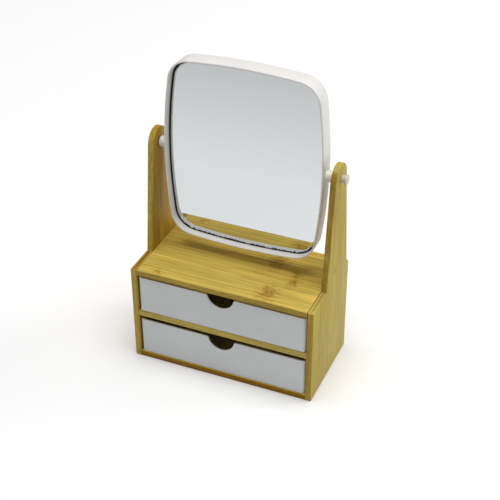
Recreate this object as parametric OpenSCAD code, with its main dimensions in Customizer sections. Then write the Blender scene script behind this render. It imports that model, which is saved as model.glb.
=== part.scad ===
// Makeup mirror on a two-drawer cabinet. Origin: centre of the footprint on the table, +Z up, front at -Y.

/* [Cabinet] */
// Outside width across both side panels
cabinet_w = 220; // [190:1:280]
// Depth from the front edges to the back edges
cabinet_d = 113; // [95:1:150]
// Thickness of each side panel, which runs up into the mirror's upright
side_t = 7; // [6:0.5:12]
// Thickness of the top board, which is the shelf
top_t = 7; // [6:0.5:12]
// Thickness of the board between the drawers
divider_t = 7; // [6:0.5:12]
// Thickness of the bottom board
bottom_t = 7; // [6:0.5:12]
// Clear height of the lower drawer's bay
lower_bay_h = 52; // [40:1:70]
// Clear height of the upper drawer's bay
upper_bay_h = 49; // [40:1:70]

/* [Back panel] */
// Thickness of the back panel
back_t = 3; // [2:0.5:4]
// Distance from the cabinet's back edges in to the back panel
back_inset = 2; // [1:0.5:6]
// Depth of the groove that holds each edge of the back panel
groove_depth = 2.5; // [1.5:0.5:3]
// Play of the back panel in its grooves, on each face and edge
groove_play = 0.1; // [0.05:0.05:0.3]

/* [Uprights] */
// Width of each upright where it leaves the shelf
upright_base_w = 65; // [50:1:80]
// Radius of each upright's round top, centred on the pivot
upright_top_r = 17; // [12:0.5:20]
// Distance from the uprights' rear foot to the cabinet's back edge
upright_back_step = 6.5; // [2:0.5:12]

/* [Dowels] */
// Diameter of the hidden dowels
dowel_d = 4; // [3:0.5:4]
// Length of each dowel
dowel_l = 16; // [12:1:24]
// Length of dowel in the side panel
dowel_in_side = 4; // [3:0.5:4.5]
// Glue play around each dowel
dowel_play = 0.05; // [0.02:0.01:0.1]
// Distance from the cabinet's front and back edges to the dowels' centres
dowel_edge = 22; // [18:1:30]

/* [Drawers] */
// Gap between a drawer and the side panel on each side
drawer_side_gap = 1.5; // [0.8:0.1:3]
// Gap above the upper drawer's rim
drawer_top_gap = 2.4; // [1:0.1:5]
// Running gap under each drawer
drawer_run_gap = 0.3; // [0.1:0.1:0.6]
// Distance from the cabinet's front edges back to the drawer fronts
drawer_recess = 0.8; // [0.5:0.1:5]
// Gap between a pushed-in drawer and the back panel
drawer_back_gap = 1.5; // [0.5:0.1:5]
// Wall thickness of the moulded drawers
drawer_wall = 2; // [1.6:0.1:3]
// Floor thickness of the moulded drawers
drawer_floor = 2; // [1.6:0.1:3]
// Outside radius of a drawer's upright corners
drawer_corner_r = 4; // [3.5:0.5:8]
// Outside radius along the bottom of a drawer's two sides
drawer_bottom_r = 3; // [1:0.5:4]
// Outside radius along the bottom of a drawer's front and back
drawer_foot_r = 1; // [0.5:0.5:4]
// Outside radius of the top corners of a drawer's front
drawer_rim_r = 1.5; // [0.5:0.5:2]

/* [Finger notch] */
// Radius of the finger notch in each drawer's rim
notch_r = 16; // [12:0.5:20]
// Height of the notch's centre above the drawer's rim
notch_rise = 1; // [0.5:0.5:8]
// Radius that rounds the notch into the rim
notch_edge_r = 3; // [1:0.5:4]

/* [Mirror frame] */
// Height of the mirror frame
frame_h = 219; // [180:1:260]
// Gap between the mirror frame and each upright
frame_side_gap = 10; // [7:0.5:14]
// Gap under the mirror frame when it turns over the shelf
frame_shelf_gap = 18.5; // [6:0.5:40]
// Radius of the frame's slightly curved left and right sides
frame_side_r = 590; // [400:10:1200]
// Radius of the frame's slightly curved top and bottom
frame_top_r = 660; // [400:10:1200]
// Radius of the frame's corners
frame_corner_r = 27; // [14:1:34]
// Width of the frame's front rim, which is its wall
rim_w = 1.8; // [1.5:0.1:4]
// Depth from the front rim down to the glass
glass_recess = 9.3; // [6:0.1:12]
// Thickness of the frame's back wall
back_wall_t = 2; // [1.5:0.1:3]
// Depth by which the frame's rim stands out behind its back wall
back_rim_depth = 7.5; // [2:0.5:10]
// Angle by which the mirror leans back as pictured
mirror_tilt = 2; // [0:1:20]

/* [Glass] */
// Thickness of the mirror glass
glass_t = 2; // [2:0.1:4]
// Gap between the glass edge and the frame's wall
glass_gap = 1.8; // [1.2:0.1:3]
// Distance by which the glass sits below the middle of the frame
glass_drop = 1; // [0:0.1:1]
// Thickness of the adhesive pads behind the glass
pad_t = 0.8; // [0.5:0.1:1.5]
// Length of each adhesive pad
pad_l = 40; // [20:1:50]
// Width of each adhesive pad
pad_w = 15; // [8:1:20]
// Distance from the glass's edges to the outer pads
pad_edge = 18; // [14:1:25]

/* [Pivots] */
// Diameter of the frame's side bosses
boss_d = 12.5; // [11.5:0.5:13]
// Thickness of the friction washer on each boss
washer_t = 0.8; // [0.5:0.1:1.5]
// Play on each face of the friction washers
washer_play = 0.1; // [0.05:0.05:0.2]
// Diameter of the pivot pins' shafts
shaft_d = 9; // [7:0.5:10]
// Play between a shaft and the round holes that it turns in, on the radius
shaft_play = 0.1; // [0.05:0.01:0.1]
// Length of shaft that stands out of the upright when a pin is fully home
shaft_stand_off = 2.5; // [1:0.5:8]
// Distance that the right pin is pulled out, as pictured
right_pin_pull = 2.5; // [0:0.5:3]
// Diameter of the pivot pins' heads
head_d = 11.5; // [10.5:0.5:14]
// Thickness of the pivot pins' heads
head_t = 2; // [1:0.5:4]
// Diameter of the pin's tip, pressed into the boss
tip_d = 6; // [4:0.5:6.5]
// Length of the pin's tip
tip_l = 5; // [3:0.5:5.5]
// Spare depth of the boss's bore past the tip
tip_spare = 0.5; // [0.3:0.1:0.5]

/* [Hidden] */
$fn = 96;
eps = 1;
// Straight steps along half of a wide arc and along a corner arc of the mirror frame
wide_steps = 8;
corner_steps = 20;
cabinet_h = bottom_t + lower_bay_h + divider_t + upper_bay_h + top_t;
inner_w = cabinet_w - 2 * side_t;
front_y = -cabinet_d / 2;
rear_y = cabinet_d / 2;
divider_z = bottom_t + lower_bay_h;
upper_bay_z = divider_z + divider_t;
top_z = cabinet_h - top_t;

back_panel_y = rear_y - back_inset - back_t;
back_panel_w = inner_w + 2 * (groove_depth - groove_play);
back_panel_z = bottom_t - groove_depth + groove_play;
back_panel_h = top_z + groove_depth - groove_play - back_panel_z;

frame_w = inner_w - 2 * frame_side_gap;
pivot_y = rear_y - upright_back_step - upright_base_w / 2;
pivot_z = cabinet_h + frame_shelf_gap + frame_h / 2;

drawer_w = inner_w - 2 * drawer_side_gap;
drawer_y = front_y + drawer_recess;
drawer_d = back_panel_y - drawer_back_gap - drawer_y;
drawer_h = min(lower_bay_h, upper_bay_h) - drawer_run_gap - drawer_top_gap;

tray_depth = glass_recess + glass_t + pad_t;
frame_depth = tray_depth + back_wall_t + back_rim_depth;
frame_front_y = -frame_depth / 2;
glass_y = frame_front_y + glass_recess;
pad_y = glass_y + glass_t;
glass_inset = rim_w + glass_gap;
pad_x = frame_w / 2 - glass_inset - pad_edge - pad_w / 2;
pad_z = frame_h / 2 - glass_inset - pad_edge - pad_l / 2;

upright_inner_x = inner_w / 2;
washer_x = upright_inner_x - washer_play - washer_t;
boss_end_x = washer_x - washer_play;
boss_start_x = (frame_w - rim_w) / 2;
bore_depth = tip_l + tip_spare;
head_x = cabinet_w / 2 + shaft_stand_off;

// Heights of the dowels, along the middle of each board
top_dowel_z = top_z + top_t / 2;
divider_dowel_z = divider_z + divider_t / 2;
bottom_dowel_z = bottom_t / 2;

// Extrudes a flat shape drawn in Y and Z along X, from x0 over a length
module along_x(x0, length) {
  translate([x0, 0, 0]) rotate([90, 0, 90]) linear_extrude(length) union() children();
}

// Extrudes a flat shape drawn in X and Z along Y, from y0 backwards over a length
module along_y(y0, length) {
  translate([0, y0 + length, 0]) rotate([90, 0, 0]) linear_extrude(length) union() children();
}

// Rectangle from a corner, with its own radius at the two lower and the two upper corners
module rounded_rect(x0, y0, w, h, low_r, high_r) {
  translate([x0, y0 + low_r]) square([w, h - low_r - high_r]);
  translate([x0 + low_r, y0]) square([w - 2 * low_r, h / 2]);
  translate([x0 + high_r, y0 + h / 2]) square([w - 2 * high_r, h / 2]);
  for (x = [low_r, w - low_r])
    translate([x0 + x, y0 + low_r]) circle(r = low_r);
  for (x = [high_r, w - high_r])
    translate([x0 + x, y0 + h - high_r]) circle(r = high_r);
}

// The dowels of one board, or with play added the holes that take them
module dowels(z, play) {
  for (side = [-1, 1], y = [front_y + dowel_edge, rear_y - dowel_edge])
    translate([side * (upright_inner_x + dowel_in_side - dowel_l / 2), y, z])
      rotate([0, 90, 0])
        cylinder(d = dowel_d + 2 * play, h = dowel_l + 2 * play, center = true);
}

module dowel_set(z) {
  color("#d9bd84") dowels(z, 0);
}

// Space in the side, top and bottom boards that the back panel's edges fill
module back_panel_groove() {
  translate([-back_panel_w / 2 - groove_play, back_panel_y - groove_play, back_panel_z - groove_play])
    cube([back_panel_w + 2 * groove_play, back_t + 2 * groove_play, back_panel_h + 2 * groove_play]);
}

// Flat shape of a side panel: the cabinet's side with the upright on it, tapered to touch its round top
module side_profile() {
  foot = upright_base_w / 2;
  rise = pivot_z - cabinet_h;
  reach = norm([foot, rise]);
  taper_l = sqrt(reach * reach - upright_top_r * upright_top_r);
  taper_angle = atan2(rise, foot) + asin(upright_top_r / reach);
  touch_y = foot - taper_l * cos(taper_angle);
  touch_z = cabinet_h + taper_l * sin(taper_angle);
  polygon([[front_y, 0], [rear_y, 0], [rear_y, cabinet_h], [pivot_y + foot, cabinet_h],
           [pivot_y + touch_y, touch_z], [pivot_y - touch_y, touch_z],
           [pivot_y - foot, cabinet_h], [front_y, cabinet_h]]);
  translate([pivot_y, pivot_z]) circle(r = upright_top_r);
}

module side_panel(side) {
  color("#bfa860") difference() {
    along_x(side > 0 ? upright_inner_x : -upright_inner_x - side_t, side_t) side_profile();
    translate([0, pivot_y, pivot_z]) rotate([0, 90, 0])
      cylinder(d = shaft_d + 2 * shaft_play, h = cabinet_w + 2 * eps, center = true);
    for (z = [top_dowel_z, divider_dowel_z, bottom_dowel_z])
      dowels(z, dowel_play);
    back_panel_groove();
  }
}

module left_side_panel() { side_panel(-1); }
module right_side_panel() { side_panel(1); }

// A board between the side panels, from the front edge back to y1
module board(z, t, y1) {
  difference() {
    translate([-inner_w / 2, front_y, z]) cube([inner_w, y1 - front_y, t]);
    dowels(z + t / 2, dowel_play);
    back_panel_groove();
  }
}

module top_board() { color("#c4ac5c") board(top_z, top_t, rear_y); }
module divider_board() { color("#a08c46") board(divider_z, divider_t, back_panel_y - groove_play); }
module bottom_board() { color("#86661f") board(0, bottom_t, rear_y); }

module back_panel() {
  color("#c9b27a")
    translate([-back_panel_w / 2, back_panel_y, back_panel_z])
      cube([back_panel_w, back_t, back_panel_h]);
}

module top_board_dowels() { dowel_set(top_dowel_z); }
module divider_board_dowels() { dowel_set(divider_dowel_z); }
module bottom_board_dowels() { dowel_set(bottom_dowel_z); }

// Flat shape of the finger notch, with the drawer's rim at height 0
module notch_profile() {
  edge_x = sqrt(pow(notch_r + notch_edge_r, 2) - pow(notch_rise + notch_edge_r, 2));
  translate([0, notch_rise]) circle(r = notch_r);
  difference() {
    polygon([[0, notch_rise], [edge_x, -notch_edge_r], [edge_x, notch_rise + eps],
             [-edge_x, notch_rise + eps], [-edge_x, -notch_edge_r]]);
    for (side = [-1, 1])
      translate([side * edge_x, -notch_edge_r]) circle(r = notch_edge_r);
  }
}

// One moulded drawer standing on height z
module drawer(z) {
  color("#e4e6e8") difference() {
    intersection() {
      translate([0, 0, z]) linear_extrude(drawer_h)
        rounded_rect(-drawer_w / 2, drawer_y, drawer_w, drawer_d, drawer_corner_r, drawer_corner_r);
      along_y(drawer_y, drawer_d)
        rounded_rect(-drawer_w / 2, z, drawer_w, drawer_h, drawer_bottom_r, drawer_rim_r);
      along_x(-drawer_w / 2, drawer_w)
        rounded_rect(drawer_y, z, drawer_d, drawer_h + 2 * drawer_foot_r, drawer_foot_r, drawer_foot_r);
    }
    translate([0, 0, z + drawer_floor]) linear_extrude(drawer_h)
      rounded_rect(-drawer_w / 2 + drawer_wall, drawer_y + drawer_wall, drawer_w - 2 * drawer_wall,
                   drawer_d - 2 * drawer_wall, drawer_corner_r - drawer_wall, drawer_corner_r - drawer_wall);
    along_y(drawer_y - eps, drawer_corner_r + eps)
      translate([0, z + drawer_h]) notch_profile();
  }
}

module upper_drawer() { drawer(upper_bay_z + drawer_run_gap); }
module lower_drawer() { drawer(bottom_t + drawer_run_gap); }

// Centre of the corner arc that runs smoothly into a side arc and a top arc
function corner_centre(side, top, r1, r2) =
  let (gap = top - side,
       d = norm(gap),
       a = (r1 * r1 - r2 * r2 + d * d) / (2 * d),
       h = sqrt(r1 * r1 - a * a),
       along = gap / d)
  side + a * along + h * [along[1], -along[0]];

side_arc = [frame_w / 2 - frame_side_r, 0];
top_arc = [0, frame_h / 2 - frame_top_r];
corner_arc = corner_centre(top_arc, side_arc, frame_top_r - frame_corner_r, frame_side_r - frame_corner_r);
side_turn = atan2(corner_arc[1] - side_arc[1], corner_arc[0] - side_arc[0]);
top_turn = atan2(corner_arc[1] - top_arc[1], corner_arc[0] - top_arc[0]);

// Points on an arc after its first one
function arc_points(centre, r, from, to, steps) =
  [for (i = [1 : steps]) let (a = from + (to - from) * i / steps) centre + r * [cos(a), sin(a)]];

// Mirror frame's outline, drawn in by inset: four wide arcs joined smoothly by four corner arcs
module frame_outline(inset) {
  quarter = concat(
    [[frame_w / 2 - inset, 0]],
    arc_points(side_arc, frame_side_r - inset, 0, side_turn, wide_steps),
    arc_points(corner_arc, frame_corner_r - inset, side_turn, top_turn, corner_steps),
    arc_points(top_arc, frame_top_r - inset, top_turn, 90, wide_steps));
  last = len(quarter) - 1;
  polygon(concat(
    quarter,
    [for (i = [last - 1 : -1 : 0]) [-quarter[i][0], quarter[i][1]]],
    [for (i = [1 : last]) -quarter[i]],
    [for (i = [last - 1 : -1 : 1]) [quarter[i][0], -quarter[i][1]]]));
}

// Puts what is drawn about the pivot axis where the mirror hangs, leaning back
module on_mirror() {
  translate([0, pivot_y, pivot_z]) rotate([-mirror_tilt, 0, 0]) children();
}

// Puts what is drawn upwards along the pivot axis on the left (side -1) or the right (side 1)
module on_axis(side, x0) {
  mirror([side > 0 ? 0 : 1, 0, 0]) translate([x0, 0, 0]) rotate([0, 90, 0]) children();
}

module mirror_frame() {
  color("#eceae6") on_mirror() difference() {
    union() {
      along_y(frame_front_y, frame_depth) frame_outline(0);
      for (side = [-1, 1])
        on_axis(side, boss_start_x) cylinder(d = boss_d, h = boss_end_x - boss_start_x);
    }
    along_y(frame_front_y - eps, tray_depth + eps) frame_outline(rim_w);
    along_y(-frame_front_y - back_rim_depth, back_rim_depth + eps) frame_outline(rim_w);
    for (side = [-1, 1])
      on_axis(side, boss_end_x - bore_depth) cylinder(d = tip_d, h = bore_depth + eps);
  }
}

module mirror_glass() {
  color("#c8cccd") on_mirror() translate([0, 0, -glass_drop])
    along_y(glass_y, glass_t) frame_outline(glass_inset);
}

module glass_pads() {
  color("#4a4a48") on_mirror()
    for (x = [-pad_x, pad_x], z = [-pad_z, 0, pad_z])
      translate([x - pad_w / 2, pad_y, z - pad_l / 2]) cube([pad_w, pad_t, pad_l]);
}

// Pivot pin: tip in the frame's boss, shaft through the upright, head outside
module pivot_pin(side, pull) {
  color("#dedad4") on_mirror() {
    on_axis(side, boss_end_x - tip_l + pull) cylinder(d = tip_d, h = tip_l + washer_play);
    on_axis(side, boss_end_x + pull) cylinder(d = shaft_d, h = head_x - boss_end_x);
    on_axis(side, head_x + pull) cylinder(d = head_d, h = head_t);
  }
}

module left_pivot_pin() { pivot_pin(-1, 0); }
module right_pivot_pin() { pivot_pin(1, right_pin_pull); }

module friction_washer(side) {
  color("#8c8c88") on_mirror() on_axis(side, washer_x) difference() {
    cylinder(d = boss_d, h = washer_t);
    translate([0, 0, -eps]) cylinder(d = shaft_d + 2 * shaft_play, h = washer_t + 2 * eps);
  }
}

module left_friction_washer() { friction_washer(-1); }
module right_friction_washer() { friction_washer(1); }

left_side_panel();
right_side_panel();
top_board();
divider_board();
bottom_board();
back_panel();
top_board_dowels();
divider_board_dowels();
bottom_board_dowels();
upper_drawer();
lower_drawer();
mirror_frame();
mirror_glass();
glass_pads();
left_pivot_pin();
right_pivot_pin();
left_friction_washer();
right_friction_washer();
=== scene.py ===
"""Tilting makeup mirror on a bamboo cabinet with two drawers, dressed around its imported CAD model."""

import math

import bmesh
import bpy
from mathutils import Matrix, Vector


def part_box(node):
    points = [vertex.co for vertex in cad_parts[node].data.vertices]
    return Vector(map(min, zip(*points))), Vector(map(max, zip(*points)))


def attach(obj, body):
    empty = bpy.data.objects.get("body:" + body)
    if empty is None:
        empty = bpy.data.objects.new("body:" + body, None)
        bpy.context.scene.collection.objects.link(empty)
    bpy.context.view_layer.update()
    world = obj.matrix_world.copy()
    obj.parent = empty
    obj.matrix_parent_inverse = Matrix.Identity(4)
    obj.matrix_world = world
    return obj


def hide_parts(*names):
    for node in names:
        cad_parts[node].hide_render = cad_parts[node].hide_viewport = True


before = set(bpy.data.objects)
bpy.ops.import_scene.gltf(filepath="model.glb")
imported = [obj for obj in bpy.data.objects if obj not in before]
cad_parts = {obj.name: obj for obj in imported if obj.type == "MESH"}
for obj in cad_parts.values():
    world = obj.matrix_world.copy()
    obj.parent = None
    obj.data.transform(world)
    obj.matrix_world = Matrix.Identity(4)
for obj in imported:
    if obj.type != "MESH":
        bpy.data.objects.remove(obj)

bl_info = {
    "name": "Makeup mirror with drawers",
    "version": (1, 0, 0),
    "blender": (4, 5, 0),
    "location": "View3D > Sidebar > Makeup Mirror",
    "description": "Builds a tilting makeup mirror on a bamboo cabinet with two drawers",
    "category": "Add Mesh",
}

MM = 0.001
AXIS_X, AXIS_Y, AXIS_Z = Vector((1, 0, 0)), Vector((0, 1, 0)), Vector((0, 0, 1))

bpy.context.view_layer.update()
LEFT_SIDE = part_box("left_side_panel")
RIGHT_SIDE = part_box("right_side_panel")
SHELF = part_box("top_board")
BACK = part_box("back_panel")
UPPER_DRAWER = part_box("upper_drawer")
LOWER_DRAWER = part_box("lower_drawer")
LEFT_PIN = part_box("left_pivot_pin")
RIGHT_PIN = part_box("right_pivot_pin")
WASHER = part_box("right_friction_washer")
PIVOT = Vector((0, (WASHER[0].y + WASHER[1].y) / 2, (WASHER[0].z + WASHER[1].z) / 2))
SHELF_TOP = SHELF[1].z

# Hidden joints, from the cabinet's middle outwards, as the CAD model has them
DOWEL_HOLE_FROM, DOWEL_HOLE_TO, DOWEL_HOLE_RADIUS = 90.9 * MM, 107.1 * MM, 2.05 * MM
DOWEL_FROM_EDGE = 22 * MM
GROOVE_PLAY = 0.1 * MM
BORE_RADIUS = 4.6 * MM
BOSS_FROM, BOSS_TO, BOSS_RADIUS = 92.1 * MM, 102 * MM, 6.25 * MM
SOCKET_FROM, SOCKET_TO, SOCKET_RADIUS = 96.5 * MM, 103 * MM, 3 * MM

# Each pivot pin from its head inwards: where the head, the shaft and the tip end, and their radii
PIN_HEAD, PIN_SHAFT, PIN_TIP = 2 * MM, 12.5 * MM, 17.5 * MM
PIN_HEAD_RADIUS, PIN_SHAFT_RADIUS, PIN_TIP_RADIUS = 5.75 * MM, 4.5 * MM, 3 * MM

# The glass in its frame, whose middle is the pivot axis
GLASS_FRONT, GLASS_THICKNESS, PAD_THICKNESS = -1.5 * MM, 2 * MM, 0.8 * MM
GLASS_GAP, GLASS_DROP = 1.8 * MM, 1 * MM
# From here back, the frame's recess walls get painted shade
GAP_SHOWS_FROM = GLASS_FRONT - 0.6 * MM
BACK_RECESS = 7.5 * MM

# The photograph's camera, from the cabinet's corners
CAMERA_TARGET = Vector((0.0123268, 0, 0.1444947))
CAMERA_AZIMUTH, CAMERA_ELEVATION, CAMERA_ROLL = 23.0873, 34.2232, -0.147
CAMERA_DISTANCE = 1.3318086
CAMERA_LENS, SENSOR_WIDTH = 85.81, 36


# Sizes and colours that a user may change

class CabinetSettings(bpy.types.PropertyGroup):
    edge_radius: bpy.props.FloatProperty(
        name="Board edges", description="Radius sanded onto the edges of the bamboo boards",
        default=0.6 * MM, min=0.1 * MM, max=2 * MM, precision=5, unit="LENGTH")
    upright_foot: bpy.props.FloatProperty(
        name="Upright foot", description="Width of each upright where it leaves the shelf",
        default=65 * MM, min=50 * MM, max=80 * MM, unit="LENGTH")
    upright_top: bpy.props.FloatProperty(
        name="Upright top", description="Radius of each upright's round top",
        default=17 * MM, min=12 * MM, max=20 * MM, unit="LENGTH")
    shelf_colour: bpy.props.StringProperty(
        name="Shelf", description="Colour of the shelf's broad faces, as sRGB hex", default="#D1B556")
    shelf_edge_colour: bpy.props.StringProperty(
        name="Shelf edge", description="Colour of the shelf's front edge, as sRGB hex", default="#B3973E")
    divider_colour: bpy.props.StringProperty(
        name="Divider", description="Colour of the divider's front edge, as sRGB hex", default="#C3AF58")
    base_colour: bpy.props.StringProperty(
        name="Base", description="Colour of the bottom board's front edge, as sRGB hex", default="#976D02")
    left_colour: bpy.props.StringProperty(
        name="Left panel", default="#B7932B",
        description="Colour of the left panel's broad faces, as sRGB hex")
    left_edge_colour: bpy.props.StringProperty(
        name="Left edges", default="#B9A04C",
        description="Colour of the left panel's narrow edges, as sRGB hex")
    left_end_colour: bpy.props.StringProperty(
        name="Left end grain", default="#67390F",
        description="Colour of the left panel's flat end grain, as sRGB hex")
    right_colour: bpy.props.StringProperty(
        name="Right panel", default="#C1AC4D",
        description="Colour of the right panel's broad faces, as sRGB hex")
    right_edge_colour: bpy.props.StringProperty(
        name="Right edges", default="#B1913B",
        description="Colour of the right panel's narrow edges, as sRGB hex")
    right_end_colour: bpy.props.StringProperty(
        name="Right end grain", default="#9A7C4C",
        description="Colour of the right panel's flat end grain, as sRGB hex")


class DrawerSettings(bpy.types.PropertyGroup):
    wall: bpy.props.FloatProperty(
        name="Wall", description="Wall and floor thickness of the moulded drawers",
        default=2 * MM, min=1.5 * MM, max=3 * MM, unit="LENGTH")
    corner_radius: bpy.props.FloatProperty(
        name="Upright corners", description="Outside radius of the drawers' upright corners",
        default=4 * MM, min=3 * MM, max=8 * MM, unit="LENGTH")
    bottom_radius: bpy.props.FloatProperty(
        name="Side edges", description="Outside radius along the bottom of the drawers' sides",
        default=3 * MM, min=1 * MM, max=4 * MM, unit="LENGTH")
    foot_radius: bpy.props.FloatProperty(
        name="Front edge", description="Outside radius along the bottom of the drawers' fronts and backs",
        default=1 * MM, min=0.5 * MM, max=4 * MM, unit="LENGTH")
    rim_radius: bpy.props.FloatProperty(
        name="Rim corners", description="Outside radius of the top corners of the drawers' fronts",
        default=1.5 * MM, min=0.5 * MM, max=2 * MM, unit="LENGTH")
    notch_radius: bpy.props.FloatProperty(
        name="Finger notch", description="Radius of the finger notch in each front",
        default=16 * MM, min=12 * MM, max=20 * MM, unit="LENGTH")
    colour: bpy.props.StringProperty(
        name="Plastic", description="Colour of the drawers' plastic, as sRGB hex", default="#D4D6D7")


class MirrorSettings(bpy.types.PropertyGroup):
    width: bpy.props.FloatProperty(
        name="Width", description="Width of the mirror frame without its bosses",
        default=186 * MM, min=150 * MM, max=230 * MM, unit="LENGTH")
    height: bpy.props.FloatProperty(
        name="Height", description="Height of the mirror frame",
        default=219 * MM, min=180 * MM, max=260 * MM, unit="LENGTH")
    depth: bpy.props.FloatProperty(
        name="Depth", description="Depth of the mirror frame",
        default=21.6 * MM, min=18 * MM, max=28 * MM, unit="LENGTH")
    side_arc: bpy.props.FloatProperty(
        name="Side curve", description="Radius of the slightly curved left and right sides",
        default=590 * MM, min=400 * MM, max=1200 * MM, unit="LENGTH")
    top_arc: bpy.props.FloatProperty(
        name="Top curve", description="Radius of the slightly curved top and bottom",
        default=660 * MM, min=400 * MM, max=1200 * MM, unit="LENGTH")
    corner_arc: bpy.props.FloatProperty(
        name="Corners", description="Radius of the mirror frame's corners",
        default=27 * MM, min=14 * MM, max=34 * MM, unit="LENGTH")
    rim: bpy.props.FloatProperty(
        name="Rim", description="Width of the front rim, which is the frame's wall",
        default=1.8 * MM, min=1.5 * MM, max=4 * MM, unit="LENGTH")
    tilt: bpy.props.FloatProperty(
        name="Tilt", description="Angle by which the mirror leans back",
        default=math.radians(2), min=0, max=math.radians(20), unit="ROTATION", subtype="ANGLE")
    colour: bpy.props.StringProperty(
        name="Frame", description="Colour of the frame's plastic, as sRGB hex", default="#EFECE8")
    glass_colour: bpy.props.StringProperty(
        name="Glass", description="Colour of the mirror's reflection, as sRGB hex", default="#DADDDE")


class StageSettings(bpy.types.PropertyGroup):
    floor_colour: bpy.props.StringProperty(
        name="Floor", description="Colour of the floor, as sRGB hex", default="#FDFDFD")
    top_power: bpy.props.FloatProperty(
        name="Top light", description="Power of the soft light above", default=735, min=0, unit="POWER")
    side_power: bpy.props.FloatProperty(
        name="Side light", description="Power of the soft light on the right",
        default=20, min=0, unit="POWER")
    sky_strength: bpy.props.FloatProperty(
        name="Room light", description="Strength of the even light of the room", default=0.03, min=0)


# Modelling helpers

def deselect_all():
    """Goes back to object mode with nothing selected."""
    if bpy.context.mode != "OBJECT":
        bpy.ops.object.mode_set(mode="OBJECT")
    bpy.ops.object.select_all(action="DESELECT")


def keep_place_in_mesh():
    """Moves the active object's place, turn and scale into its mesh."""
    bpy.ops.object.transform_apply(location=True, rotation=True, scale=True)


def named(name):
    """Names the object that an operator has just added."""
    made = bpy.context.object
    made.name = made.data.name = name
    return made


def add_block(name, low, high):
    """A cube that fills the box between two corners."""
    deselect_all()
    bpy.ops.mesh.primitive_cube_add(size=1, location=(low + high) / 2)
    made = named(name)
    made.scale = high - low
    keep_place_in_mesh()
    return made


def add_rod(name, start, end, radius, sides=64):
    """A cylinder between two points that differ in X only."""
    deselect_all()
    bpy.ops.mesh.primitive_cylinder_add(
        vertices=sides, radius=radius, depth=abs(end.x - start.x),
        location=(start + end) / 2, rotation=(0, math.pi / 2, 0))
    made = named(name)
    keep_place_in_mesh()
    return made


def start_outline(name, point):
    """A single vertex, from a plane merged at its centre, from which an outline is drawn."""
    deselect_all()
    bpy.ops.mesh.primitive_plane_add(size=MM, location=point)
    made = named(name)
    keep_place_in_mesh()
    bpy.ops.object.mode_set(mode="EDIT")
    bpy.ops.mesh.select_mode(type="VERT")
    bpy.ops.mesh.select_all(action="SELECT")
    bpy.ops.mesh.merge(type="CENTER")
    return made


def extrude(step):
    """Extrudes what is selected by a step."""
    bpy.ops.mesh.extrude_region_move(TRANSFORM_OT_translate={"value": step})


def draw_arc(centre, axis, angle, steps):
    """Spins what is selected about an axis, right-handed: Blender's spin turns the other way."""
    bpy.ops.mesh.spin(steps=steps, angle=-angle, center=centre, axis=axis)


def merge_doubles():
    bpy.ops.mesh.select_all(action="SELECT")
    bpy.ops.mesh.remove_doubles(threshold=0.001 * MM)


def face_outwards():
    bpy.ops.mesh.select_all(action="SELECT")
    bpy.ops.mesh.normals_make_consistent(inside=False)


def fill_outline():
    """Closes the drawn outline with one face, which is then selected."""
    merge_doubles()
    bpy.ops.mesh.edge_face_add()


def middle(item):
    """Middle of an edge or face."""
    if isinstance(item, bmesh.types.BMEdge):
        return (item.verts[0].co + item.verts[1].co) / 2
    return item.calc_center_median()


def direction(edge):
    return (edge.verts[1].co - edge.verts[0].co).normalized()


def pick(piece, kind, test):
    """Selects the edges or faces of a piece that pass a test, and nothing else."""
    if bpy.context.mode != "EDIT_MESH":
        bpy.ops.object.mode_set(mode="EDIT")
    bpy.ops.mesh.select_mode(type=kind)
    bpy.ops.mesh.select_all(action="DESELECT")
    shape = bmesh.from_edit_mesh(piece.data)
    found = [item for item in (shape.edges if kind == "EDGE" else shape.faces) if test(item)]
    if not found:
        raise RuntimeError(f"nothing to select on {piece.name}")
    for item in found:
        item.select_set(True)
    bmesh.update_edit_mesh(piece.data)


def round_edges(radius, segments):
    """Bevels the selected edges."""
    bpy.ops.mesh.bevel(offset=radius, offset_type="OFFSET", segments=segments, profile=0.5, affect="EDGES")


def make_active(piece):
    deselect_all()
    piece.select_set(True)
    bpy.context.view_layer.objects.active = piece


def copy_of(piece, name):
    """A copy of a piece, with its own mesh."""
    make_active(piece)
    bpy.ops.object.duplicate(linked=False)
    return named(name)


def modify(piece, kind, **settings):
    """Adds a modifier to a piece and applies it."""
    make_active(piece)
    bpy.ops.object.modifier_add(type=kind)
    made = piece.modifiers[-1]
    for name, value in settings.items():
        setattr(made, name, value)
    bpy.ops.object.modifier_apply(modifier=made.name)


def combine(piece, cutters, operation="DIFFERENCE"):
    """Cuts other shapes out of a piece, or joins them to it, and deletes them."""
    for cutter in cutters:
        modify(piece, "BOOLEAN", object=cutter, operation=operation, solver="EXACT")
    deselect_all()
    for cutter in cutters:
        cutter.select_set(True)
    bpy.ops.object.delete()


def soften(piece, radius, segments=2):
    """Rounds every edge of a piece at which its faces turn by more than 30 degrees."""
    modify(piece, "BEVEL", width=radius, segments=segments, limit_method="ANGLE",
           angle_limit=math.radians(30), use_clamp_overlap=True)


def finish_piece(piece, body, materials, stands_for=()):
    """Smooths a piece, gives it its materials, ties it to its CAD body, and hides the CAD nodes it stands
    for.
    """
    make_active(piece)
    bpy.ops.object.shade_smooth_by_angle(angle=math.radians(35))
    for material in materials:
        piece.data.materials.append(material)
    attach(piece, body)
    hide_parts(*stands_for)


def dress_node(node, material):
    """Gives a CAD node, whose shape stays, its material."""
    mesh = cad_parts[node].data
    mesh.materials.clear()
    mesh.materials.append(material)


# Material helpers

def colour(code):
    """Linear RGBA of an sRGB hex colour."""
    parts = [int(code[i:i + 2], 16) / 255 for i in (1, 3, 5)]
    return [c / 12.92 if c <= 0.04045 else ((c + 0.055) / 1.055) ** 2.4 for c in parts] + [1]


def shaded(rgba, factor):
    """A linear colour made darker or lighter by a factor."""
    return [min(1, c * factor) for c in rgba[:3]] + [1]


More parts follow.
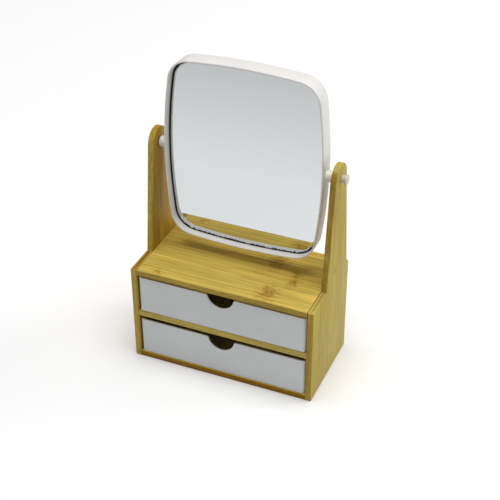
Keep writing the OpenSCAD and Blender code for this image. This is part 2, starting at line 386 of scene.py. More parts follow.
def add_node(tree, kind, inputs=(), stops=(), **settings):
    """Adds a node with its settings, its inputs' values or links, and a ramp's stops."""
    made = tree.nodes.new(kind)
    for name, value in settings.items():
        setattr(made, name, value)
    for socket, value in dict(inputs).items():
        if isinstance(value, bpy.types.NodeSocket):
            tree.links.new(value, made.inputs[socket])
        else:
            made.inputs[socket].default_value = value
    for index, (place, rgba) in enumerate(stops):
        ramp = made.color_ramp.elements
        stop = ramp[index] if index < 2 else ramp.new(place)
        stop.position, stop.color = place, rgba
    return made


def new_material(name, **shader):
    """A material with a Principled shader, whose constants are set on the shader itself."""
    material = bpy.data.materials.new(name)
    material.use_nodes = True
    tree = material.node_tree
    tree.nodes.clear()
    principled = add_node(tree, "ShaderNodeBsdfPrincipled", {
        socket.replace("_", " "): value for socket, value in shader.items()})
    add_node(tree, "ShaderNodeOutputMaterial", {"Surface": principled.outputs[0]})
    return material, tree, principled


def bamboo(name, face_code, edge_code, grain, fibre=2.4 * MM, strip=19 * MM, knots=(), seed=0.0,
           contrast=1.0, end_code=None, worn_from=None):
    """Laminated bamboo, planed and lacquered satin: long fibres, strips that differ a little in
    tone, narrow edges of another tone than the broad faces, and brown clouds with fine flecks
    where a cane's joint was cut through. grain is the fibres' axis, fibre the width of a bundle
    of them, and each knot is (place, length along the grain, width across it, strength). Past
    worn_from, along the grain either way, the lacquer is rubbed through to pale bamboo, up to
    the dirty seam at the board's end."""
    material, tree, principled = new_material(name, Specular_IOR_Level=0.14, IOR=1.5)
    along = "XYZ".index(grain)
    texture = add_node(tree, "ShaderNodeTexCoord").outputs
    place = texture["Object"]
    reach = add_node(tree, "ShaderNodeSeparateXYZ", {0: place}).outputs[along]
    normal = add_node(tree, "ShaderNodeSeparateXYZ", {0: texture["Normal"]}).outputs
    shifted = add_node(tree, "ShaderNodeVectorMath", {0: place, 1: (seed, seed * 0.7, seed * 1.3)}).outputs[0]

    def blotches(width, length, low, high, spread=0.2, detail=2.0, roughness=0.5):
        """A factor between two limits, in blotches so wide across the grain and so long along it."""
        scale = [1 / width] * 3
        scale[along] = 1 / length
        vector = add_node(tree, "ShaderNodeVectorMath", {0: shifted, 1: scale}, operation="MULTIPLY")
        noise = add_node(tree, "ShaderNodeTexNoise", {
            "Vector": vector.outputs[0], "Scale": 1.0, "Detail": detail, "Roughness": roughness})
        return add_node(tree, "ShaderNodeMapRange", {
            "Value": noise.outputs[0], "From Min": 0.5 - spread, "From Max": 0.5 + spread,
            "To Min": low, "To Max": high}).outputs[0]

    def facing(axis, low, high):
        """0 to 1 as the surface comes to face along an axis, either way."""
        size = add_node(tree, "ShaderNodeMath", {0: normal[axis]}, operation="ABSOLUTE").outputs[0]
        return add_node(tree, "ShaderNodeMapRange", {
            "Value": size, "From Min": low, "From Max": high}, interpolation_type="SMOOTHSTEP").outputs[0]

    # The broad faces and the sawn edges, which face Y on every board here
    sawn = facing("Y", 0.55, 0.8)
    wood = add_node(tree, "ShaderNodeMix", {
        "Factor": sawn, 6: colour(face_code), 7: colour(edge_code)}, data_type="RGBA").outputs[2]

    # Fibres from a hair's width to a finger's, and strips of one tone each
    fine = blotches(fibre / 2, 70 * MM, 0, 1, 0.5, 3.0, 0.6)
    hairs = add_node(tree, "ShaderNodeMapRange", {
        "Value": fine, "From Min": 0.3, "From Max": 0.7,
        "To Min": 1 - 0.16 * contrast, "To Max": 1 + 0.13 * contrast}).outputs[0]
    lane = add_node(tree, "ShaderNodeSeparateXYZ", {0: shifted}).outputs["Y"]
    lane = add_node(tree, "ShaderNodeMath", {0: lane, 1: strip}, operation="DIVIDE").outputs[0]
    lane = add_node(tree, "ShaderNodeMath", {0: lane}, operation="FLOOR").outputs[0]
    tone = add_node(tree, "ShaderNodeTexWhiteNoise", {"W": lane}, noise_dimensions="1D").outputs[0]
    strips = add_node(tree, "ShaderNodeMapRange", {
        "Value": tone, "To Min": 1 - 0.05 * contrast, "To Max": 1 + 0.04 * contrast}).outputs[0]
    # Sawn edges cross the bundles, whose cut ends show as short darker dashes
    dashes = add_node(tree, "ShaderNodeMix", {
        0: sawn, 2: 1.0, 3: blotches(1.7 * MM, 7 * MM, 0.82, 1.12)}).outputs[0]
    light = hairs
    for factor in (
            blotches(fibre, 140 * MM, 1 - 0.22 * contrast, 1 + 0.17 * contrast, 0.2, 3.0, 0.6),
            blotches(4 * fibre, 220 * MM, 1 - 0.05 * contrast, 1 + 0.05 * contrast), strips,
            blotches(35 * MM, 80 * MM, 0.95, 1.05, detail=1.0), dashes):
        light = add_node(tree, "ShaderNodeMath", {0: light, 1: factor}, operation="MULTIPLY").outputs[0]
    wood = add_node(tree, "ShaderNodeVectorMath", {0: wood, "Scale": light}, operation="SCALE").outputs[0]

    # Thin darker veins among the fibres
    veins = add_node(tree, "ShaderNodeMapRange", {
        "Value": blotches(fibre * 0.8, 90 * MM, 0, 1, 0.12, 3.0, 0.6), "From Min": 0.75,
        "To Max": 0.7 * contrast}, interpolation_type="SMOOTHSTEP").outputs[0]
    layers = [("MULTIPLY", veins, (0.76, 0.68, 0.52, 1))]

    # Knots: a soft brown cloud with ragged flecks
    ragged = blotches(4 * MM, 7 * MM, -0.4, 0.4, detail=2.0, roughness=0.6)
    flecks = blotches(2.2 * MM, 3 * MM, 0.45, 1.0, 0.12, 2.0, 0.7)
    for spot, length, width, strength in knots:
        size = [width] * 3
        size[along] = length
        away = add_node(tree, "ShaderNodeVectorMath", {0: place, 1: spot}, operation="SUBTRACT").outputs[0]
        away = add_node(tree, "ShaderNodeVectorMath", {0: away, 1: size}, operation="DIVIDE").outputs[0]
        away = add_node(tree, "ShaderNodeVectorMath", {0: away}, operation="LENGTH").outputs["Value"]
        away = add_node(tree, "ShaderNodeMath", {0: away, 1: ragged}, operation="ADD").outputs[0]
        cloud = add_node(tree, "ShaderNodeMapRange", {
            "Value": away, "To Min": strength, "To Max": 0.0}, interpolation_type="SMOOTHSTEP").outputs[0]
        stain = add_node(tree, "ShaderNodeMath", {0: cloud, 1: flecks}, operation="MULTIPLY").outputs[0]
        layers.append(("MULTIPLY", stain, (0.52, 0.32, 0.13, 1)))

    # The rubbed edge at each end, a pale line that comes and goes, and the dirty seam past it
    if worn_from:
        reached = add_node(tree, "ShaderNodeMath", {0: reach}, operation="ABSOLUTE").outputs[0]
        rubbed = add_node(tree, "ShaderNodeMapRange", {
            "Value": reached, "From Min": worn_from, "From Max": worn_from + 0.4 * MM}).outputs[0]
        rubbed = add_node(tree, "ShaderNodeMath", {
            0: rubbed, 1: blotches(7 * MM, 7 * MM, -0.35, 0.75)}, operation="MULTIPLY").outputs[0]
        seam = add_node(tree, "ShaderNodeMapRange", {
            "Value": reached, "From Min": worn_from + 0.9 * MM, "From Max": worn_from + 1.1 * MM,
            "To Max": 0.85}).outputs[0]
        layers += [("MIX", rubbed, colour("#E8DAB0")), ("MIX", seam, colour("#54401F"))]

    # End grain on the flat cuts beside the shelf: cut fibres drink more lacquer, with fine dots
    if end_code:
        dots = add_node(tree, "ShaderNodeTexVoronoi", {"Vector": place, "Scale": 1 / (0.9 * MM)})
        end = add_node(tree, "ShaderNodeValToRGB", {0: dots.outputs["Distance"]}, stops=[
            (0.1, shaded(colour(end_code), 0.85)), (0.6, shaded(colour(end_code), 1.08))])
        level = add_node(tree, "ShaderNodeMath", {0: reach, 1: SHELF_TOP + MM}, operation="LESS_THAN")
        flat = add_node(tree, "ShaderNodeMath", {
            0: facing(grain, 0.975, 0.99), 1: level.outputs[0]}, operation="MULTIPLY").outputs[0]
        layers.append(("MIX", flat, end.outputs[0]))
    for blend, factor, over in layers:
        wood = add_node(tree, "ShaderNodeMix", {"Factor": factor, 6: wood, 7: over},
                        data_type="RGBA", blend_type=blend).outputs[2]
    tree.links.new(wood, principled.inputs["Base Color"])

    rough = add_node(tree, "ShaderNodeMapRange", {"Value": fine, "To Min": 0.42, "To Max": 0.58}).outputs[0]
    tree.links.new(rough, principled.inputs["Roughness"])
    bump = add_node(tree, "ShaderNodeBump", {"Height": fine, "Strength": 0.12, "Distance": 0.1 * MM})
    tree.links.new(bump.outputs[0], principled.inputs["Normal"])
    return material


def moulded_plastic(name, code, roughness, grain=0.35 * MM, depth=0.12, painted_shade=None):
    """Opaque moulded plastic: a soft sheen, a faint mould grain and a colour that drifts slightly.
    Its last argument names an attribute that is 1 where painted shade makes the plastic almost black."""
    material, tree, principled = new_material(name, IOR=1.46, Specular_IOR_Level=0.5)
    place = add_node(tree, "ShaderNodeTexCoord").outputs["Object"]
    texture, patches = (add_node(tree, "ShaderNodeTexNoise", {
        "Vector": place, "Scale": 1 / size, "Detail": 2.0}).outputs[0] for size in (grain, 30 * MM))
    ramp = add_node(tree, "ShaderNodeValToRGB", {0: patches}, stops=[
        (0.3, shaded(colour(code), 0.98)), (0.7, shaded(colour(code), 1.02))])
    shade = ramp.outputs[0]
    if painted_shade:
        deep = add_node(tree, "ShaderNodeAttribute", attribute_name=painted_shade).outputs["Fac"]
        # Painted shade: the plastic darkens to almost black in the recess round the glass
        shade = add_node(tree, "ShaderNodeMix", {
            "Factor": deep, 6: shade, 7: colour("#2B2820")}, data_type="RGBA").outputs[2]
    tree.links.new(shade, principled.inputs["Base Color"])
    rough = add_node(tree, "ShaderNodeMapRange", {
        "Value": patches, "To Min": roughness - 0.05, "To Max": roughness + 0.05}).outputs[0]
    tree.links.new(rough, principled.inputs["Roughness"])
    bump = add_node(tree, "ShaderNodeBump", {"Height": texture, "Strength": depth, "Distance": 0.05 * MM})
    tree.links.new(bump.outputs[0], principled.inputs["Normal"])
    return material


# Pieces

def board_middle(node):
    """Height of the middle of a board."""
    low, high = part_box(node)
    return (low.z + high.z) / 2


def dowel_holes(z):
    """Rods that cut one board's four dowel holes."""
    return [add_rod("hole", Vector((side * DOWEL_HOLE_FROM, y, z)), Vector((side * DOWEL_HOLE_TO, y, z)),
                    DOWEL_HOLE_RADIUS, 24)
            for side in (-1, 1) for y in (SHELF[0].y + DOWEL_FROM_EDGE, SHELF[1].y - DOWEL_FROM_EDGE)]


def groove_for_back():
    """A block that cuts the back panel's grooves."""
    play = Vector((1, 1, 1)) * GROOVE_PLAY
    return add_block("groove", BACK[0] - play, BACK[1] + play)


class MAKEUP_OT_boards(bpy.types.Operator):
    """Builds the shelf, the divider and the bottom board of the cabinet"""
    bl_idname = "makeup_mirror.boards"
    bl_label = "Shelf and boards"

    def execute(self, context):
        settings = context.scene.makeup_cabinet
        boards = [
            ("shelf_board", "top_board", "bamboo_shelf", bamboo(
                "Laminated bamboo shelf, satin lacquer", settings.shelf_colour, settings.shelf_edge_colour,
                "X", seed=0.31, knots=[
                    (Vector((-79, -49, 122)) * MM, 12 * MM, 7 * MM, 0.8),
                    (Vector((50, -40, 122)) * MM, 18 * MM, 19 * MM, 1.0),
                    (Vector((39, 20, 122)) * MM, 18 * MM, 18 * MM, 1.0),
                    (Vector((69, -10, 122)) * MM, 10 * MM, 16 * MM, 0.95),
                    (Vector((67, 6, 122)) * MM, 8 * MM, 8 * MM, 0.9)],
                worn_from=101.4 * MM)),
            ("divider_plank", "divider_board", "bamboo_board", bamboo(
                "Laminated bamboo divider, satin lacquer", settings.shelf_colour, settings.divider_colour,
                "X", seed=1.73, contrast=0.8)),
            ("base_plank", "bottom_board", "bamboo_board", bamboo(
                "Caramel bamboo base, satin lacquer", settings.shelf_colour, settings.base_colour,
                "X", seed=2.57, contrast=0.8)),
        ]
        for name, node, slot, material in boards:
            low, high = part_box(node)
            board = add_block(name, low, high)
            soften(board, settings.edge_radius)
            cutters = dowel_holes(board_middle(node))
            if high.y > BACK[1].y:
                cutters.append(groove_for_back())
            combine(board, cutters)
            finish_piece(board, "cabinet", [material], [node])
        return {"FINISHED"}


class MAKEUP_OT_side_panels(bpy.types.Operator):
    """Builds the two side panels with their tapered uprights"""
    bl_idname = "makeup_mirror.side_panels"
    bl_label = "Side panels"

    def execute(self, context):
        settings = context.scene.makeup_cabinet
        for side_name, (low, high), seed, knots in (
            ("left", LEFT_SIDE, 3.11, [
                (Vector((-110, -20, 60)) * MM, 8 * MM, 11 * MM, 0.5),
                (Vector((-110, 22, 190)) * MM, 8 * MM, 10 * MM, 0.5)]),
            ("right", RIGHT_SIDE, 4.37, [
                (Vector((110, 9, 137)) * MM, 10 * MM, 8 * MM, 0.6),
                (Vector((110, -30, 45)) * MM, 7 * MM, 10 * MM, 0.25)]),
        ):
            name, node = f"{side_name}_upright_board", f"{side_name}_side_panel"
            face, edge, end = (getattr(settings, side_name + part)
                               for part in ("_colour", "_edge_colour", "_end_colour"))
            side = self.panel(name, low, high, settings)
            soften(side, settings.edge_radius)
            bore = add_rod("bore", Vector((low.x - MM, PIVOT.y, PIVOT.z)),
                           Vector((high.x + MM, PIVOT.y, PIVOT.z)), BORE_RADIUS)
            holes = [rod for board in ("bottom_board", "divider_board", "top_board")
                     for rod in dowel_holes(board_middle(board))]
            combine(side, [bore, groove_for_back(), *holes])
            finish_piece(side, "cabinet", [bamboo(
                f"Laminated bamboo {side_name} panel, satin lacquer", face, edge, "Z", fibre=4 * MM,
                seed=seed, knots=knots, contrast=0.75, end_code=end)], [node])
        return {"FINISHED"}

    def panel(self, name, low, high, settings):
        """One panel, drawn as a flat outline in Y and Z and given its thickness."""
        foot, top = settings.upright_foot / 2, settings.upright_top
        rise = PIVOT.z - SHELF_TOP
        reach = math.hypot(foot, rise)
        taper = math.sqrt(reach ** 2 - top ** 2)
        lean = math.atan2(rise, foot) + math.asin(top / reach)
        touch = Vector((0, foot - taper * math.cos(lean), taper * math.sin(lean)))
        panel = start_outline(name, low)
        corners = [
            Vector((0, high.y, 0)), Vector((0, high.y, SHELF_TOP)), Vector((0, PIVOT.y + foot, SHELF_TOP)),
            Vector((0, PIVOT.y + touch.y, SHELF_TOP + touch.z))]
        at = Vector((0, low.y, 0))
        for corner in corners:
            extrude(corner - at)
            at = corner
        over = 2 * math.atan2(touch.y, touch.z - rise)
        draw_arc((low.x, PIVOT.y, PIVOT.z), AXIS_X, over, 32)
        at = Vector((0, PIVOT.y - touch.y, SHELF_TOP + touch.z))
        for corner in (Vector((0, PIVOT.y - foot, SHELF_TOP)), Vector((0, low.y, SHELF_TOP)),
                       Vector((0, low.y, 0))):
            extrude(corner - at)
            at = corner
        fill_outline()
        extrude(AXIS_X * (high.x - low.x))
        face_outwards()
        return panel


class MAKEUP_OT_hidden_wood(bpy.types.Operator):
    """Gives the back panel and the dowels, whose CAD shapes stay, their wood"""
    bl_idname = "makeup_mirror.hidden_wood"
    bl_label = "Back panel and dowels"

    def execute(self, context):
        veneer = bamboo("Bamboo plywood back, unlacquered", "#CBB179", "#CBB179", "Z",
                        strip=24 * MM, seed=5.21)
        dress_node("back_panel", veneer)
        beech = bamboo("Plain beech dowel, unfinished", "#D9BD8B", "#D9BD8B", "X",
                       strip=2 * MM, seed=6.4, contrast=0.5)
        for node in ("top_board_dowels", "divider_board_dowels", "bottom_board_dowels"):
            dress_node(node, beech)
        return {"FINISHED"}


class MAKEUP_OT_drawers(bpy.types.Operator):
    """Builds the two moulded drawers with their finger notches"""
    bl_idname = "makeup_mirror.drawers"
    bl_label = "Drawers"

    def execute(self, context):
        settings = context.scene.makeup_drawers
        plastic = moulded_plastic("Moulded polystyrene drawer, fine satin", settings.colour, 0.42)
        low, high = UPPER_DRAWER
        upper = self.tray("upper_drawer_tray", low, high, settings)
        combine(upper, [self.notch(low.y - 2 * MM, high.z, settings)])
        soften(upper, 0.55 * MM, 3)
        lower = copy_of(upper, "lower_drawer_tray")
        lower.location = LOWER_DRAWER[0] - low
        keep_place_in_mesh()
        for tray, node in ((upper, "upper_drawer"), (lower, "lower_drawer")):
            finish_piece(tray, node, [plastic], [node])
        return {"FINISHED"}

    def tray(self, name, low, high, settings):
        """What three rounded blocks, one along each axis, have in common, hollowed from the top."""
        over = Vector((5, 5, 5)) * MM
        tray = add_block(name, low, high)
        pick(tray, "EDGE", lambda edge: abs(direction(edge).z) > 0.9)
        round_edges(settings.corner_radius, 8)
        front = add_block("front", low - over * AXIS_Y, high + over * AXIS_Y)
        for rim, radius in ((low.z, settings.bottom_radius), (high.z, settings.rim_radius)):
            pick(front, "EDGE", lambda edge: abs(direction(edge).y) > 0.9
                 and abs(middle(edge).z - rim) < 0.1 * MM)
            round_edges(radius, 6)
        side = add_block("side", low - over * AXIS_X, high + over * (AXIS_X + AXIS_Z))
        pick(side, "EDGE", lambda edge: abs(direction(edge).x) > 0.9 and middle(edge).z < low.z + 0.1 * MM)
        round_edges(settings.foot_radius, 4)
        combine(tray, [front, side], "INTERSECT")
        wall = Vector((1, 1, 1)) * settings.wall
        hollow = add_block("hollow", low + wall, high - wall + AXIS_Z * 2 * over.z)
        pick(hollow, "EDGE", lambda edge: abs(direction(edge).z) > 0.9)
        round_edges(settings.corner_radius - settings.wall, 6)
        pick(hollow, "EDGE", lambda edge: middle(edge).z < low.z + settings.wall + 0.1 * MM)
        round_edges(0.8 * MM, 3)
        combine(tray, [hollow])
        return tray

    def notch(self, y, rim, settings):
        """The shape that cuts a finger notch: a large arc that small arcs round into the rim."""
        radius, rise, edge = settings.notch_radius, 1 * MM, 3 * MM
        reach = math.sqrt((radius + edge) ** 2 - (rise + edge) ** 2)
        slope = math.atan2(rise + edge, reach)
        notch = start_outline("notch", Vector((-reach, y, rim)))
        draw_arc((-reach, y, rim - edge), AXIS_Y, math.pi / 2 - slope, 8)
        draw_arc((0, y, rim + rise), AXIS_Y, 2 * slope - math.pi, 32)
        draw_arc((reach, y, rim - edge), AXIS_Y, math.pi / 2 - slope, 8)
        extrude(AXIS_Z * 6 * MM)
        extrude(-AXIS_X * 2 * reach)
        extrude(-AXIS_Z * 6 * MM)
        fill_outline()
        extrude(AXIS_Y * 6 * MM)
        face_outwards()
        return notch


def mirror_outline(name, y, inset, settings, steps=24):
    """The mirror's outline, drawn in by inset, as one face: four wide arcs and four corner arcs."""
    side, top, corner = settings.side_arc, settings.top_arc, settings.corner_arc
    side_centre = Vector((settings.width / 2 - side, 0))
    top_centre = Vector((0, settings.height / 2 - top))
    gap = side_centre - top_centre
    reach = gap.length
    r1, r2 = top - corner, side - corner
    part = (r1 ** 2 - r2 ** 2 + reach ** 2) / (2 * reach)
    off = math.sqrt(r1 ** 2 - part ** 2)
    along = gap / reach
    corner_centre = top_centre + along * part + Vector((along.y, -along.x)) * off
    side_turn = math.atan2(*(corner_centre - side_centre).yx)
    top_turn = math.atan2(*(corner_centre - top_centre).yx)
    if corner_centre.x < 0 or corner_centre.y < 0:
        raise RuntimeError("the mirror's corner arc lies outside its quarter")
    outline = start_outline(name, Vector((settings.width / 2 - inset, y, 0)))
    for centre, angle, count in (
        (side_centre, side_turn, steps), (corner_centre, top_turn - side_turn, steps),
        (top_centre, math.pi / 2 - top_turn, steps)):
        draw_arc((centre.x, y, centre.y), -AXIS_Y, angle, count)
    modify(outline, "MIRROR", use_axis=(True, False, True), use_mirror_merge=True, merge_threshold=0.01 * MM)
    bpy.ops.object.mode_set(mode="EDIT")
    fill_outline()
    return outline


def hang_on_pivot(piece, settings):
    """Leans a piece that was drawn about the pivot axis and moves it there, within its mesh."""
    make_active(piece)
    piece.rotation_euler = (-settings.tilt, 0, 0)
    piece.location = PIVOT
    keep_place_in_mesh()


class MAKEUP_OT_mirror_frame(bpy.types.Operator):
    """Builds the mirror's tray-shaped frame with its side bosses"""
    bl_idname = "makeup_mirror.mirror_frame"
    bl_label = "Mirror frame"

    def execute(self, context):
        settings = context.scene.makeup_mirror
        half = settings.depth / 2
        tray = mirror_outline("mirror_tray", half, 0, settings)
        extrude(-AXIS_Y * settings.depth)
        face_outwards()
        pick(tray, "FACE", lambda face: face.normal.y > 0.9)
        bpy.ops.mesh.inset(thickness=settings.rim, use_even_offset=True)
        extrude(-AXIS_Y * BACK_RECESS)
        pick(tray, "EDGE", lambda edge: all(v.co.y > half - 0.01 * MM for v in edge.verts)
             and any(abs(face.normal.y) < 0.1 for face in edge.link_faces))
        round_edges(0.6 * MM, 3)
        pick(tray, "FACE", lambda face: face.normal.y < -0.9)
        bpy.ops.mesh.inset(thickness=settings.rim, use_even_offset=True)
        for step in (half + GAP_SHOWS_FROM, GLASS_FRONT - GAP_SHOWS_FROM, GLASS_THICKNESS + PAD_THICKNESS):
            extrude(AXIS_Y * step)
        for outer, radius, segments in ((True, 1.1 * MM, 6), (False, 0.5 * MM, 4)):
            pick(tray, "EDGE", lambda edge: all(v.co.y < 0.01 * MM - half for v in edge.verts) and any(
                abs(face.normal.y) < 0.1 and (middle(face).xz.dot(face.normal.xz) > 0) == outer
                for face in edge.link_faces))
            round_edges(radius, segments)
        face_outwards()
        for side in (-AXIS_X, AXIS_X):
            boss = add_rod("boss", side * BOSS_FROM, side * BOSS_TO, BOSS_RADIUS)
            soften(boss, 0.4 * MM)
            combine(tray, [boss], "UNION")
            combine(tray, [add_rod("socket", side * SOCKET_FROM, side * SOCKET_TO, SOCKET_RADIUS)])
        self.mark_gap(tray, settings)
        hang_on_pivot(tray, settings)
        # The frame's plastic, with painted shade in the recess round the glass
        finish_piece(tray, "mirror", [moulded_plastic(
            "Moulded ABS mirror frame, soft gloss", settings.colour, 0.3, depth=0.06, painted_shade="in_gap")],
            ["mirror_frame"])
        return {"FINISHED"}

    def mark_gap(self, tray, settings):
        """Marks the recess behind the glass's front, where a narrow gap runs round the glass, for the painted
        shade that turns the plastic almost black there.
        """
        inside = (settings.width - settings.rim) / 2
        floor = GLASS_FRONT + GLASS_THICKNESS + PAD_THICKNESS
        mark = tray.data.attributes.new("in_gap", "FLOAT", "POINT")
        for vertex, value in zip(tray.data.vertices, mark.data):
            if abs(vertex.co.x) < inside and GAP_SHOWS_FROM < vertex.co.y < floor + 0.2 * MM:
                value.value = min(1, (vertex.co.y - GAP_SHOWS_FROM) / (GLASS_FRONT - GAP_SHOWS_FROM))


class MAKEUP_OT_mirror_glass(bpy.types.Operator):
    """Builds the silvered glass and dresses the adhesive pads behind it"""
    bl_idname = "makeup_mirror.mirror_glass"
    bl_label = "Mirror glass"

    def execute(self, context):
        settings = context.scene.makeup_mirror
        border = 2.1 * MM
        glass = mirror_outline("silvered_glass", GLASS_FRONT + GLASS_THICKNESS,
                               settings.rim + GLASS_GAP, settings)
        extrude(-AXIS_Y * GLASS_THICKNESS)
        face_outwards()
        pick(glass, "EDGE", lambda edge: all(v.co.y < GLASS_FRONT + 0.01 * MM for v in edge.verts))
        round_edges(0.3 * MM, 2)
        pick(glass, "FACE", lambda face: face.normal.y < -0.99)
        bpy.ops.mesh.inset(thickness=border, use_even_offset=True)
        inner = {tuple(round(c, 6) for c in v.co) for v in bmesh.from_edit_mesh(glass.data).verts if v.select}
        bpy.ops.object.mode_set(mode="OBJECT")
        distance = glass.data.attributes.new("from_edge", "FLOAT", "POINT")
        for vertex, value in zip(glass.data.vertices, distance.data):
            value.value = 1.0 if tuple(round(c, 6) for c in vertex.co) in inner else 0.0
        make_active(glass)
        glass.location.z = -GLASS_DROP
        keep_place_in_mesh()
        hang_on_pivot(glass, settings)
        finish_piece(glass, "mirror", [self.silvered(settings)], ["mirror_glass"])
        dress_node("glass_pads", moulded_plastic(
            "Foam adhesive pad", "#4A4A48", 0.85, grain=0.8 * MM, depth=0.6))
        return {"FINISHED"}

    def silvered(self, settings):
        """Silvered float glass: a clean reflection, slightly wiped, with a thin broken dark line of bare
        glass along its edge, wider towards the bottom."""
        material, tree, principled = new_material("Silvered float glass, cut edge", IOR=1.5)
        place = add_node(tree, "ShaderNodeTexCoord").outputs["Object"]
        wipes, chips = (add_node(tree, "ShaderNodeTexNoise", {
            "Vector": place, "Scale": 1 / size, "Detail": 3.0}).outputs[0] for size in (45 * MM, 2.6 * MM))
        near = add_node(tree, "ShaderNodeAttribute", attribute_name="from_edge").outputs["Fac"]
        height = add_node(tree, "ShaderNodeSeparateXYZ", {0: place}).outputs["Z"]
        # The broken dark line along the edge is wider towards the bottom
        dark_line_width = add_node(tree, "ShaderNodeMapRange", {
            "Value": height, "From Min": PIVOT.z - 100 * MM, "From Max": PIVOT.z - 80 * MM,
            "To Min": 0.9, "To Max": 0.1}).outputs[0]
        limit = add_node(tree, "ShaderNodeMapRange", {
            "Value": chips, "From Min": 0.35, "From Max": 0.65, "To Min": 0.0, "To Max": dark_line_width}).outputs[0]
        bare = add_node(tree, "ShaderNodeMath", {0: limit, 1: near}, operation="SUBTRACT").outputs[0]
        bare = add_node(tree, "ShaderNodeMapRange", {
            "Value": bare, "From Min": -0.08, "From Max": 0.08}, interpolation_type="SMOOTHSTEP").outputs[0]
        tint = add_node(tree, "ShaderNodeMix", {
            "Factor": bare, 6: colour(settings.glass_colour), 7: colour("#1A202C")},
            data_type="RGBA").outputs[2]
        tree.links.new(tint, principled.inputs["Base Color"])
        metal = add_node(tree, "ShaderNodeMath", {0: 1.0, 1: bare}, operation="SUBTRACT").outputs[0]
        tree.links.new(metal, principled.inputs["Metallic"])
        clean = add_node(tree, "ShaderNodeMapRange", {"Value": wipes, "To Max": 0.02}).outputs[0]
        rough = add_node(tree, "ShaderNodeMath", {0: bare, 1: 0.3, 2: clean}, operation="MULTIPLY_ADD")
        tree.links.new(rough.outputs[0], principled.inputs["Roughness"])
        return material


class MAKEUP_OT_pivots(bpy.types.Operator):
    """Builds the two pivot pins and dresses the friction washers"""
    bl_idname = "makeup_mirror.pivots"
    bl_label = "Pivot pins and washers"

    def execute(self, context):
        settings = context.scene.makeup_mirror
        plastic = moulded_plastic("Moulded nylon pin, soft gloss", "#D2CEBC", 0.28, depth=0.05)
        steps = [(PIN_TIP, PIN_TIP_RADIUS), (PIN_SHAFT, PIN_TIP_RADIUS), (PIN_SHAFT, PIN_SHAFT_RADIUS),
                 (PIN_HEAD, PIN_SHAFT_RADIUS), (PIN_HEAD, PIN_HEAD_RADIUS), (0, PIN_HEAD_RADIUS), (0, 0)]
        end = LEFT_PIN[0].x
        at = Vector((end + PIN_TIP, 0, 0))
        left = start_outline("left_pin", at)
        for back, radius in steps:
            to = Vector((end + back, 0, radius))
            extrude(to - at)
            at = to
        bpy.ops.mesh.select_all(action="SELECT")
        bpy.ops.mesh.spin(steps=64, angle=math.tau, center=(0, 0, 0), axis=AXIS_X, use_auto_merge=False)
        merge_doubles()
        face_outwards()
        soften(left, 0.5 * MM, 3)
        right = copy_of(left, "right_pin")
        right.rotation_euler.z = math.pi
        right.location.x = end + RIGHT_PIN[1].x
        keep_place_in_mesh()
        for pin, node in ((left, "left_pivot_pin"), (right, "right_pivot_pin")):
            hang_on_pivot(pin, settings)
            finish_piece(pin, "mirror", [plastic], [node])
        # The washers' dark brown is rubber and also the painted shadow ring where each boss meets its upright
        rubber = moulded_plastic("Pressed rubber washer, matt", "#4A3A2A", 0.8, grain=0.5 * MM, depth=0.4)
        for node in ("left_friction_washer", "right_friction_washer"):
            dress_node(node, rubber)
        return {"FINISHED"}


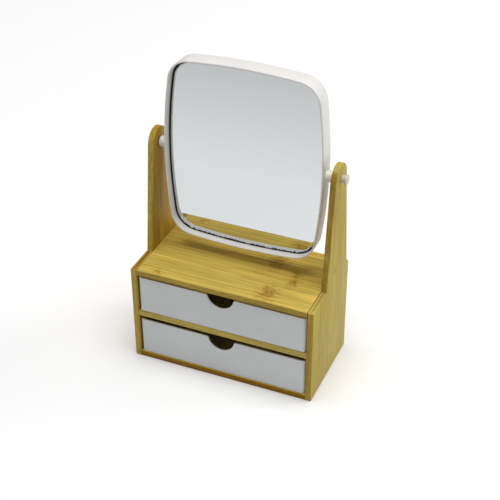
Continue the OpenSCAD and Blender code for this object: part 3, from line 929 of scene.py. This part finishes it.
class MAKEUP_OT_stage(bpy.types.Operator):
    """Builds the floor, the soft lights and the camera"""
    bl_idname = "makeup_mirror.stage"
    bl_label = "Floor, lights and camera"

    def execute(self, context):
        scene, settings = context.scene, context.scene.makeup_stage
        deselect_all()
        bpy.ops.mesh.primitive_plane_add(size=5, location=(0, 0, -0.3 * MM))
        floor = named("floor")
        floor.data.materials.append(self.paper(settings))
        for name, place, aim, size, power in (
            ("top_light", (0.3, -0.3, 8.0), (0.0, 0.0, 0.1), 7.0, settings.top_power),
            ("side_light", (2.2, 1.5, 1.3), (0.05, 0.0, 0.15), 1.2, settings.side_power)):
            bpy.ops.object.light_add(type="AREA", location=place)
            light = named(name)
            light.data.size, light.data.energy = size, power
            light.rotation_euler = (Vector(aim) - light.location).to_track_quat("-Z", "Y").to_euler()
        scene.world = self.room(settings)
        scene.view_settings.view_transform = "Standard"
        self.camera(scene)
        return {"FINISHED"}

    def paper(self, settings):
        """Matt white background paper, greyer in front as painted shade for the light falling off away from
        the lamp, which is what the mirror shows of it.
        """
        material, tree, principled = new_material("Matt background paper", IOR=1.5, Roughness=0.9)
        place = add_node(tree, "ShaderNodeTexCoord").outputs["Object"]
        front = add_node(tree, "ShaderNodeSeparateXYZ", {0: place}).outputs["Y"]
        # Painted shade: the paper darkens towards the front
        light = add_node(tree, "ShaderNodeMapRange", {
            "Value": front, "From Min": -0.9, "From Max": -0.4, "To Min": 0.67, "To Max": 1.0}).outputs[0]
        fleck = add_node(tree, "ShaderNodeTexNoise", {"Vector": place, "Scale": 1 / (2 * MM)})
        fleck = add_node(tree, "ShaderNodeMapRange", {
            "Value": fleck.outputs[0], "To Min": 0.995, "To Max": 1.005})
        light = add_node(tree, "ShaderNodeMath", {0: light, 1: fleck.outputs[0]}, operation="MULTIPLY")
        shade = add_node(tree, "ShaderNodeVectorMath", {
            0: colour(settings.floor_colour)[:3], "Scale": light.outputs[0]}, operation="SCALE").outputs[0]
        tree.links.new(shade, principled.inputs["Base Color"])
        return material

    def room(self, settings):
        """A pale room: bright behind the floor's edge, dim as a light, grey in reflections."""
        world = bpy.data.worlds.new("Soft room")
        world.use_nodes = True
        tree = world.node_tree
        ray = add_node(tree, "ShaderNodeLightPath").outputs
        dim = add_node(tree, "ShaderNodeMapRange", {
            "Value": ray["Is Diffuse Ray"], "To Min": 0.25, "To Max": settings.sky_strength}).outputs[0]
        seen = add_node(tree, "ShaderNodeMapRange", {
            "Value": ray["Is Camera Ray"], "To Min": dim, "To Max": 0.95}).outputs[0]
        background = tree.nodes["Background"]
        background.inputs["Color"].default_value = colour("#FAFAFC")
        tree.links.new(seen, background.inputs["Strength"])
        return world

    def camera(self, scene):
        turn = (Matrix.Rotation(math.radians(CAMERA_AZIMUTH), 4, "Z")
                @ Matrix.Rotation(math.pi / 2 - math.radians(CAMERA_ELEVATION), 4, "X")
                @ Matrix.Rotation(math.radians(CAMERA_ROLL), 4, "Z"))
        bpy.ops.object.camera_add(location=CAMERA_TARGET + turn.to_3x3() @ AXIS_Z * CAMERA_DISTANCE,
                                  rotation=turn.to_euler())
        camera = named("photo_camera")
        camera.data.lens, camera.data.sensor_width = CAMERA_LENS, SENSOR_WIDTH
        scene.camera = camera


class MAKEUP_PT_panel(bpy.types.Panel):
    """Lists the mirror's settings and its building steps"""
    bl_idname = "MAKEUP_PT_panel"
    bl_label = "Makeup Mirror"
    bl_space_type = "VIEW_3D"
    bl_region_type = "UI"
    bl_category = "Makeup Mirror"

    def draw(self, context):
        for group in GROUPS:
            box = self.layout.box()
            for name in GROUPS[group].__annotations__:
                box.prop(getattr(context.scene, group), name)
        for step in STEPS:
            self.layout.operator(step.bl_idname)


GROUPS = {
    "makeup_cabinet": CabinetSettings,
    "makeup_drawers": DrawerSettings,
    "makeup_mirror": MirrorSettings,
    "makeup_stage": StageSettings,
}
STEPS = (MAKEUP_OT_boards, MAKEUP_OT_side_panels, MAKEUP_OT_hidden_wood, MAKEUP_OT_drawers,
         MAKEUP_OT_mirror_frame, MAKEUP_OT_mirror_glass, MAKEUP_OT_pivots, MAKEUP_OT_stage)


def register():
    for kind in (*GROUPS.values(), *STEPS, MAKEUP_PT_panel):
        bpy.utils.register_class(kind)
    for name, group in GROUPS.items():
        setattr(bpy.types.Scene, name, bpy.props.PointerProperty(type=group))


def unregister():
    for name in GROUPS:
        delattr(bpy.types.Scene, name)
    for kind in (MAKEUP_PT_panel, *reversed(STEPS), *reversed(GROUPS.values())):
        bpy.utils.unregister_class(kind)


def main():
    register()
    for step in STEPS:
        getattr(bpy.ops.makeup_mirror, step.bl_idname.split(".")[1])()
    deselect_all()


if __name__ == "__main__":
    main()
